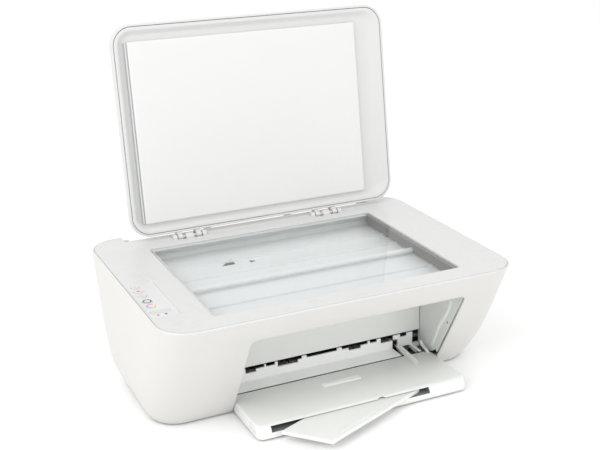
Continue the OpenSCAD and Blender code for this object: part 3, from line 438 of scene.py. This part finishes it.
def cut(piece, cutter):
    """Cuts one closed shape out of another, which leaves the cutter's finish on the new walls."""
    tool = piece.modifiers.new("cut", "BOOLEAN")
    tool.object, tool.operation, tool.solver = cutter, "DIFFERENCE", "EXACT"
    tool.material_mode = "TRANSFER"
    keep(piece)
    bpy.data.objects.remove(cutter)
    return piece


def keep(piece):
    """Writes a piece's modifiers into its mesh."""
    bpy.context.view_layer.update()
    shape = piece.evaluated_get(bpy.context.evaluated_depsgraph_get())
    mesh = bpy.data.meshes.new_from_object(shape)
    piece.modifiers.clear()
    piece.data = mesh
    return piece


def round_edges(piece, width_mm, angle=34, steps=3):
    edge = piece.modifiers.new("edges", "BEVEL")
    edge.width, edge.segments, edge.limit_method = width_mm * MM, steps, "ANGLE"
    edge.angle_limit = math.radians(angle)
    edge.miter_outer = "MITER_ARC"
    keep(piece)
    smooth(piece.data, 40)
    return piece


def merged(name, pieces):
    """One piece out of several closed ones."""
    tool = bmesh.new()
    materials = []
    for p in pieces:
        shift = len(materials)
        materials += list(p.data.materials)
        start = len(tool.faces)
        tool.from_mesh(p.data)
        tool.faces.ensure_lookup_table()
        for face in tool.faces[start:]:
            face.material_index += shift
    mesh = bpy.data.meshes.new(name)
    tool.to_mesh(mesh)
    tool.free()
    for m in materials:
        mesh.materials.append(m)
    for p in pieces:
        bpy.data.objects.remove(p)
    piece = bpy.data.objects.new(name, mesh)
    bpy.context.scene.collection.objects.link(piece)
    return piece


def fit(piece, body, slot=None, *nodes):
    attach(piece, body)
    if nodes:
        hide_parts(*nodes)
    return piece


# ---- Casing ----


def body_loop(z, inset):
    lowest = max(z, base_z)
    r = corner_r - 4 * drop(lowest) - inset
    x = min(half_w - side_in(lowest), widest) - inset
    low, high = front_in(lowest) + inset, depth - back_in(lowest) - inset
    return [at(px, py, z) for px, py in outline(-x, x, low, high, r, 12)]


def rim_loop(z, inset):
    x = half_w - inset
    return [at(px, py, z) for px, py in outline(-x, x, inset, depth - inset, corner_r - inset, 12)]


def casing():
    heights = [3.2, 4.4, 6, 8, 10.5, 13.5, 17, 21, 26, 32, 40, 50, 62, 76, 92, 110, 128, 139, 143.2]
    plastic = finishes["casing"]
    lip = 1.6
    loops = [body_loop(base_z, 0.9), body_loop(2.4, 0.35)]
    loops += [body_loop(z, 0) for z in heights + [top_z - lip]]
    for degrees in (22.5, 45, 67.5, 90):
        a = math.radians(degrees)
        loops.append(rim_loop(top_z - lip + lip * math.sin(a), lip * (1 - math.cos(a)) + 0.55 * math.cos(a)))
    loops += [rim_loop(z, inset) for z, inset in
              ((top_z, 1.95), (top_z - 0.12, 2.3), (top_z - 0.5, 2.45), (143.1, 2.45))]
    loops += [body_loop(z, wall) for z in [142.9] + list(reversed(heights[:-1])) + [base_z]]
    shell = loft("casing_shell", loops, plastic, ring=True)

    mouth = outline(bay_x[0], bay_x[1], 5.8, tray_axis[0] + 60, 9, 8)
    loops = [[at(x, *turned(y, z, tray_axis, -tray_close)) for x, y in mouth] for z in (-30, 22)]
    cut(shell, loft("mouth_tool", loops, plastic))
    cut(shell, block("floor_tool", bay_x, (60, 137.4), (-1, 16), plastic))
    back = depth - back_in(52) - 12
    cut(shell, block("rear_tool", (-168, 168), (back, depth + 20), (52, top_z + 5), plastic))
    port = depth - back_in(46)
    cut(shell, block("port_tool", (-156, -112), (port - 20, port + 10), (20, 46), plastic))
    round_edges(shell, 0.9, 42)
    fit(shell, "chassis", "casing", "outer_casing")


# ---- Lid ----


def lid_point(x, y, z):
    return at(x, *turned(y, z, lid_axis, -lid_open))


lid_x = (-161.9, 199.1)
lid_back = lid_axis[0] - 5.9
lid_y = (lid_back - 255.8, lid_back)
lid_rim = 146.7
lid_r = 25.7


def lid_loop(inset, rise, right=0.0):
    """Outline of the lid at a height over its rim, and in from its right edge by a little more."""
    r = max(lid_r - inset, 3.0)
    points = outline(lid_x[0] + inset, lid_x[1] - inset - right, lid_y[0] + inset, lid_y[1] - inset, r, 12)
    return [lid_point(x, y, lid_rim + rise) for x, y in points]


def lid():
    outer = [(2.7, 9.6), (2.7, 0.5), (2.3, 0.12), (1.6, 0), (0.8, 0.15), (0.2, 0.6), (0, 1.4), (0, 6.4),
             (0.25, 8), (0.9, 9.3), (2.0, 10.3), (3.8, 11.05), (7, 11.5), (14, 11.75), (34, 11.92), (80, 12)]
    skin = loft("lid_skin", [lid_loop(inset, rise) for inset, rise in outer], finishes["cover"])
    fit(skin, "lid", "cover", "lid_shell")

    # The dish inside is steep on the left and slopes gently on the right
    floor = 4.95
    inner = [(3.3, floor + 2, 0), (3.3, 0.95, 0), (3.6, 0.62, 0), (4.2, 0.5, 0), (6.4, 0.5, 0), (7.4, 0.72, 0.3),
             (8.3, 1.3, 1.2), (9.8, 2.6, 3.4), (11.4, 3.9, 5.6), (12.8, 4.6, 7.2), (14.6, floor, 8.2), (19, floor, 9)]
    dish = loft("lid_dish", [lid_loop(*step) for step in inner], finishes["cover"])
    fit(dish, "lid", "cover", "lid_liner")
    document_pad(floor)


def document_pad(floor):
    x0, x1 = lid_x[0] + 19.3, lid_x[1] - 40.7
    y0, y1 = lid_y[0] + 20.6, lid_y[1] - 16

    def ring(xa, xb, ya, yb, r, steps, rise):
        return [lid_point(x, y, lid_rim + rise) for x, y in outline(xa, xb, ya, yb, r, steps)]

    face = [(0.2, floor), (0, floor - 0.6), (0, 1.2), (0.25, 0.55), (0.9, 0.2), (2.2, 0.1), (16, 0.1), (60, 0.1)]
    loops = [ring(x0 + i, x1 - i, y0 + i, y1 - i, 1.6 + i * 0.2, 4, rise) for i, rise in face]
    pad = loft("document_pad", loops, finishes["foam"])
    fit(pad, "lid", "foam", "foam_pad")

    bars = [(3.6, 3.0, 3.2, ink_grey), (3.0, 1.2, 2.6, finishes["foam"]), (1.2, 0.4, 3.2, ink_grey)]
    edges = []
    for far, near, lift, finish in bars:
        loops = [ring(x0 - far, x0 - near, y0 + 1, y1 - 1, 0.1, 1, rise) for rise in (floor + 0.1, floor - lift)]
        edges.append(loft("edge", loops, finish))
    fit(merged("pad_board_edge", edges), "lid")


# ---- Output tray ----


def tray_ear(x, width):
    """Eye that takes a pin of the tray's arm."""
    angles = [math.radians(a) for a in range(-60, 241, 20)]
    profile = [(120 + 4.2 * math.cos(a), 10.9 + 4.2 * math.sin(a)) for a in angles]
    return along_x("tray_ear", profile + [(115.8, 6), (124.2, 6)], x, x + width, finishes["tray"])


def tray():
    x0, x1 = bay_x[0] + 0.8, bay_x[1] - 0.8
    low, front, back = 2.6, 6.5, 90.4
    thick = 14.2
    nose = [(0.5, 0, 0.4), (0.1, 0.35, 0.1), (0, 1.2, 0)]
    for degrees in (0, 12, 24, 36, 48, 60, 70, 80, 90):
        a = math.radians(degrees)
        taper = max(0.0, math.sin(a) - 0.75) / 0.25
        nose.append((9.4 * (1 - math.cos(a)), 6.6 + 7.6 * math.sin(a), 1.3 * taper ** 2))
    loops = []
    for inset, rise, side in nose:
        plan = outline(x0 + side, x1 - side, front + inset, back - side * 0.4, 8.2, 8)
        sag = 1.2 * rise / thick
        loops.append([at(x, y, low + rise - sag * max(0.0, y - front - 9) / 80) for x, y in plan])
    board = loft("tray_board", loops, finishes["tray"])

    # The pocket and the thumb notch are cut with the dark grey finish, which lands on their walls as painted shade in
    # these recesses
    pocket = outline(-98, 98.5, front - 16, 78, 5, 6)
    cut(board, loft("slot_tool", [[at(x, y, z) for x, y in pocket] for z in (9.3, 15.3)], finishes["grey"]))
    thumb = outline(33, 43, front - 6, 12.5, 4, 6)
    cut(board, loft("thumb_tool", [[at(x, y, z) for x, y in thumb] for z in (13, 20)], finishes["grey"]))
    # Thin groove round the latch at the left end
    for y, z in (((17.2, 17.6), (7.2, 14.2)), ((30.2, 30.6), (7.2, 14.2)),
                 ((17.2, 30.6), (13.8, 14.2)), ((17.2, 30.6), (7.2, 7.6))):
        cut(board, block("latch_tool", (x0 - 3, x0 + 0.5), y, z, finishes["latch"]))
    round_edges(board, 0.7, 40, 2)

    profile = [(88, 2.9), (130, 2.9), (130.4, 3.4), (130.4, 7.8), (130, 8.2), (88, 8.2)]
    tail = along_x("tray_tail", profile, x0 + 0.6, x1 - 0.6, finishes["black"])
    strip = slab("tray_strip", outline(-8.5, 40.2, 61.8, 71.5, 1.4, 5), 15.4, 16.4, finishes["bright"], 0.3)
    line = [(84, 15.2), (87.5, 17.4), (91.5, 18.6), (96, 19.2), (100, 21.2), (102.6, 24.6)]
    section = [(145.2, 1.1), (142.2, 1.1), (142.2, -1.1), (145.2, -1.1)]
    hook = ribbon("hook_arm", line, section, finishes["stay"])
    piece = merged("paper_tray", [board, tail, strip, hook, tray_ear(x0, 8), tray_ear(x1 - 8, 8)])
    smooth(piece.data, 40)
    fit(piece, "tray", "tray", "output_tray")


# ---- Printed marks on the control strip ----

label_x = -half_w + 4.5


def arc_mark(name, x, y, z, inner, outer, start, end, finish, steps=24):
    """Thin printed arc standing a hair above the surface."""
    count = max(3, int(steps * abs(end - start) / 360) + 1)
    angles = [math.radians(start + (end - start) * i / count) for i in range(count + 1)]
    ring = [(x + outer * math.cos(a), y + outer * math.sin(a)) for a in angles]
    ring += [(x + inner * math.cos(a), y + inner * math.sin(a)) for a in reversed(angles)]
    return loft(name, [[at(px, py, h) for px, py in ring] for h in (z - 0.03, z + 0.04)], finish)


def bar_mark(name, x, y, z, length, width, angle, finish):
    c, s = math.cos(math.radians(angle)), math.sin(math.radians(angle))
    a, b = length / 2, width / 2
    points = [(x + c * u - s * v, y + s * u + c * v) for u, v in ((-a, -b), (a, -b), (a, b), (-a, b))]
    return loft(name, [[at(px, py, h) for px, py in points] for h in (z - 0.03, z + 0.04)], finish)


def control_marks():
    cap = top_z + 0.7
    x = label_x + 8.1
    marks = [bar_mark("bar", x, 127.2, cap, 5.0, 1.1, a, ink_red) for a in (45, -45)]
    fit(merged("cancel_mark", marks), "cancel_button")
    x = label_x + 8.5
    marks = [arc_mark("arc", x, 113.6, cap, 2.2, 2.8, 60, 330, ink_grey)]
    marks.append(bar_mark("bar", x, 113.6, cap, 2.6, 0.7, 90, ink_grey))
    fit(merged("resume_mark", marks), "resume_button")
    x = label_x + 8.6
    fit(arc_mark("black_copy_mark", x, 96.9, cap, 3.4, 4.8, 0, 359.9, ink_black, 40), "black_copy_button")
    x = label_x + 8.4
    thirds = ((34, ink_pink), (154, ink_blue), (274, ink_yellow))
    marks = [arc_mark("arc", x, 83.6, cap, 3.2, 4.6, a, a + 112, ink) for a, ink in thirds]
    fit(merged("colour_copy_mark", marks), "colour_copy_button")
    x = label_x + 8.2
    marks = [arc_mark("arc", x, 140.5, cap, 1.9, 2.5, 120, 420, ink_grey)]
    marks.append(bar_mark("bar", x, 142.4, cap, 2.2, 0.55, 90, ink_grey))
    fit(merged("power_mark", marks), "power_button")
    low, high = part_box("status_lights")
    x, y = high.x / MM - 1.4, ((low.y + high.y) / 2 - front_y) / MM
    fit(arc_mark("dark_light", x, y, high.z / MM, 0.1, 1.35, 0, 359.9, ink_black, 24), "chassis")


# ---- Small parts that only show ----


def scan_marks():
    """Home-position marks on the floor of the scanner tub."""
    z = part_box("scanner_tub")[0].z / MM + 2.05
    shapes = [[(-73, 205), (-56, 205), (-56, 221)], [(-37, 201), (-30, 204), (-37, 208)]]
    marks = [loft("mark", [[at(x, y, h) for x, y in s] for h in (z, z + 0.25)], ink_black) for s in shapes]
    fit(merged("home_marks", marks), "chassis")


def painted_glass_reflection():
    """Dark strip on the underside of the glass, over its right-hand seat: a painted dark reflection."""
    right = glass_high.x / MM - 0.2
    back = (glass_high.y - front_y) / MM - 0.4
    low = glass_low.z / MM + 0.84
    plan = outline(right - 5.4, right, 30.4, back, 0.2, 2)
    border = loft("painted_glass_reflection", [[at(x, y, z) for x, y in plan] for z in (low, low + 0.04)], finishes["head"])
    fit(border, "chassis")


def wall_rib():
    """Curved flange on the bay's right wall, where the tray's arm runs."""
    line = [(48.5, 98), (50.4, 92), (53, 85.5), (56.3, 78.8), (61, 72), (67.7, 63.4), (73, 54), (79.5, 40),
            (87.5, 24)]
    section = [(150.0, 3), (149.4, 2.3), (149.4, -2.3), (150.0, -3)]
    fit(ribbon("wall_rib", line, section, finishes["bright"]), "chassis", "bay")


# ---- Put it together ----

casing()
lid()
tray()
control_marks()
scan_marks()
painted_glass_reflection()
wall_rib()

slots = {row["node"]: row["material_slot"] for row in frame["record"]["subparts"]}
fine_edges = {
    "top_cover": 0.5, "extender": 0.9, "exit_frame": 0.35, "access_door": 0.5, "bay_ceiling": 0.3,
    "bay_walls": 0.3, "hinge_sockets": 0.4, "lid_hinge_arms": 0.4, "tray_stay": 0.35, "rear_tray": 0.7,
    "panel_label": 0.12, "display_window": 0.08, "power_button": 0.3, "cancel_button": 0.3,
    "resume_button": 0.3, "black_copy_button": 0.3, "colour_copy_button": 0.3, "scanner_tub": 0.6,
    "scan_head": 0.5}
# Pieces whose finish differs from the one of their slot
own_finish = {"tray_stay": "stay", "scan_head": "head", "scanner_tub": "tub", "scan_rod": "tub",
              # exit_frame takes the brighter white as a painted highlight: it lightens the ledge's sloping face,
              # which falls in shade
              "paper_chute": "grey", "exit_frame": "bright"}


def dress(node, piece):
    """A CAD piece keeps its shape and gets its finish and slightly rounded edges."""
    mesh = piece.data
    mesh.materials.clear()
    mesh.materials.append(finishes[own_finish.get(node, slots[node])])
    if node == "scanner_glass":
        return
    mesh.polygons.foreach_set("use_smooth", [True] * len(mesh.polygons))
    join = piece.modifiers.new("join", "WELD")
    join.merge_threshold = 1e-6
    flat = piece.modifiers.new("flat", "DECIMATE")
    flat.decimate_type, flat.angle_limit = "DISSOLVE", math.radians(0.8)
    edge = piece.modifiers.new("edges", "BEVEL")
    edge.width, edge.segments, edge.limit_method = fine_edges.get(node, 0.25) * MM, 2, "ANGLE"
    edge.angle_limit = math.radians(40)
    even = piece.modifiers.new("even", "WEIGHTED_NORMAL")
    even.keep_sharp = True


for node, piece in frame["nodes"].items():
    if not piece.hide_render:
        dress(node, piece)


# ---- Floor, light and camera ----


def floor_finish():
    f = Finish("studio_floor")
    cloud = f.noise(2, 2)
    return f.surface(Base_Color=f.tint(cloud, (0.93, 0.93, 0.93), (0.95, 0.95, 0.95)), Roughness=0.8)


def studio():
    size = 6.0
    bpy.ops.mesh.primitive_plane_add(size=size, location=(0, 0, -0.0002))
    floor = bpy.context.object
    floor.name = "studio_floor"
    floor.data.materials.append(floor_finish())

    world = bpy.data.worlds.new("studio")
    world.use_nodes = True
    world.node_tree.nodes["Background"].inputs["Color"].default_value = (1.0, 1.0, 1.0, 1)
    world.node_tree.nodes["Background"].inputs["Strength"].default_value = 1.04
    bpy.context.scene.world = world

    middle = Vector((0, 0, 0.12))
    lights = (("key_light", (-1.9, -0.9, 2.0), 24, 1.6), ("fill_light", (0.3, -2.0, 1.0), 8, 1.8))
    for name, spot, watts, width in lights:
        lamp = bpy.data.lights.new(name, "AREA")
        lamp.energy, lamp.size = watts, width
        holder = bpy.data.objects.new(name, lamp)
        holder.location = spot
        holder.rotation_euler = (middle - Vector(spot)).to_track_quat("-Z", "Y").to_euler()
        bpy.context.scene.collection.objects.link(holder)


def camera():
    azimuth, elevation, roll = math.radians(-24.85), math.radians(19.5), -0.015
    level = math.cos(elevation)
    back = Vector((math.sin(azimuth) * level, -math.cos(azimuth) * level, math.sin(elevation)))
    right = (-back).cross(Vector((0, 0, 1))).normalized()
    up = right.cross(-back)
    turned_right = right * math.cos(roll) + up * math.sin(roll)
    turned_up = up * math.cos(roll) - right * math.sin(roll)
    lens = bpy.data.cameras.new("studio_camera")
    lens.sensor_width, lens.lens = 36, 36 * 1077 / 600
    holder = bpy.data.objects.new("studio_camera", lens)
    turn = Matrix((turned_right, turned_up, back)).transposed().to_4x4()
    holder.matrix_world = Matrix.Translation(at(-492.09, -923.26, 601.42)) @ turn
    bpy.context.scene.collection.objects.link(holder)
    bpy.context.scene.camera = holder


studio()
camera()
bpy.context.scene.view_settings.view_transform = "Standard"
